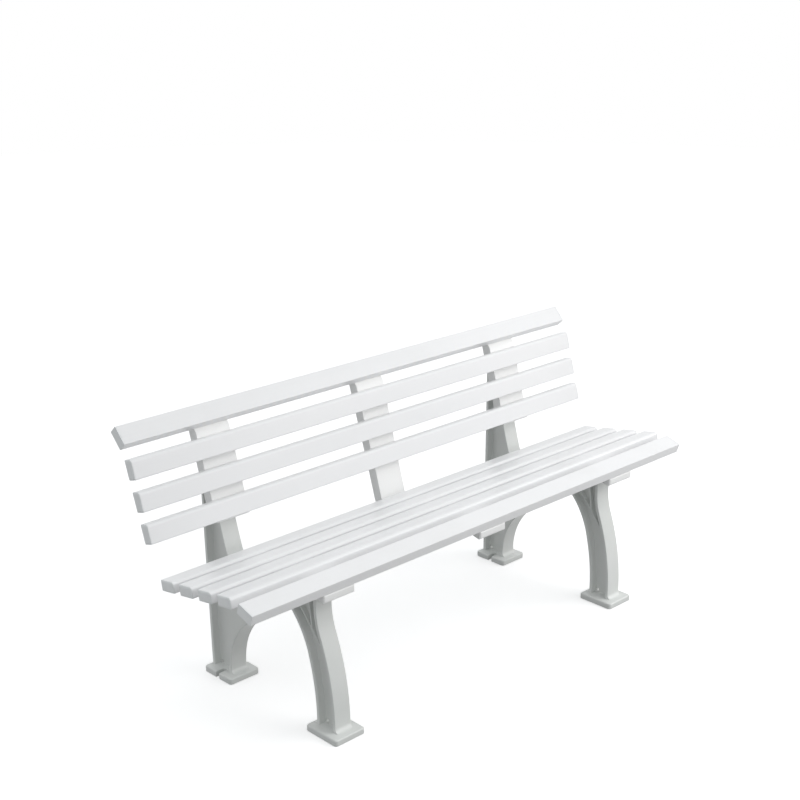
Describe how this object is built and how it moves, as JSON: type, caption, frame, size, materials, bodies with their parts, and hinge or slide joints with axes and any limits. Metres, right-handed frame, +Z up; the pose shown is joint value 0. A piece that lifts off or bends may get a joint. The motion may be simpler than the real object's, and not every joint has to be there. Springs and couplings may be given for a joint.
{
  "type": "slatted garden bench",
  "caption": "Straight slatted garden bench with reclined back, rounded seat front and arched one-piece end frames on flat feet.",
  "frame": {"origin": "on the ground under the middle of the bench", "axes": "+X along the slats to the sitter's left, -Y towards the front, +Z up"},
  "size_m": [1.5, 0.5056, 0.7082],
  "materials": {
    "slat_plastic": "satin gloss, white, extruded",
    "cap_plastic": "satin, white, moulded",
    "frame_plastic": "satin, white, moulded",
    "carrier_plastic": "satin, white, moulded",
    "screw_steel": "stainless",
    "bolt_steel": "zinc plated",
    "washer_steel": "zinc plated"
  },
  "bodies": {
    "root": {"seat_slat_1": "slat_plastic", "seat_slat_2": "slat_plastic", "seat_slat_3": "slat_plastic", "seat_slat_4": "slat_plastic", "front_edge_slat": "slat_plastic", "back_slat_1": "slat_plastic", "back_slat_2": "slat_plastic", "back_slat_3": "slat_plastic", "top_slat": "slat_plastic", "cap_seat_slat_1_left": "cap_plastic", "cap_seat_slat_1_right": "cap_plastic", "cap_seat_slat_2_left": "cap_plastic", "cap_seat_slat_2_right": "cap_plastic", "cap_seat_slat_3_left": "cap_plastic", "cap_seat_slat_3_right": "cap_plastic", "cap_seat_slat_4_left": "cap_plastic", "cap_seat_slat_4_right": "cap_plastic", "cap_front_edge_slat_left": "cap_plastic", "cap_front_edge_slat_right": "cap_plastic", "cap_back_slat_1_left": "cap_plastic", "cap_back_slat_1_right": "cap_plastic", "cap_back_slat_2_left": "cap_plastic", "cap_back_slat_2_right": "cap_plastic", "cap_back_slat_3_left": "cap_plastic", "cap_back_slat_3_right": "cap_plastic", "cap_top_slat_left": "cap_plastic", "cap_top_slat_right": "cap_plastic", "end_frame_left": "frame_plastic", "seat_carrier_left": "carrier_plastic", "back_carrier_left": "carrier_plastic", "frame_bolts_left": "bolt_steel", "frame_washers_left": "washer_steel", "end_frame_right": "frame_plastic", "seat_carrier_right": "carrier_plastic", "back_carrier_right": "carrier_plastic", "frame_bolts_right": "bolt_steel", "frame_washers_right": "washer_steel", "centre_bracket": "carrier_plastic", "seat_screws_left": "screw_steel", "back_screws_left": "screw_steel", "seat_screws_centre": "screw_steel", "back_screws_centre": "screw_steel", "seat_screws_right": "screw_steel", "back_screws_right": "screw_steel"}
  },
  "joints": []
}
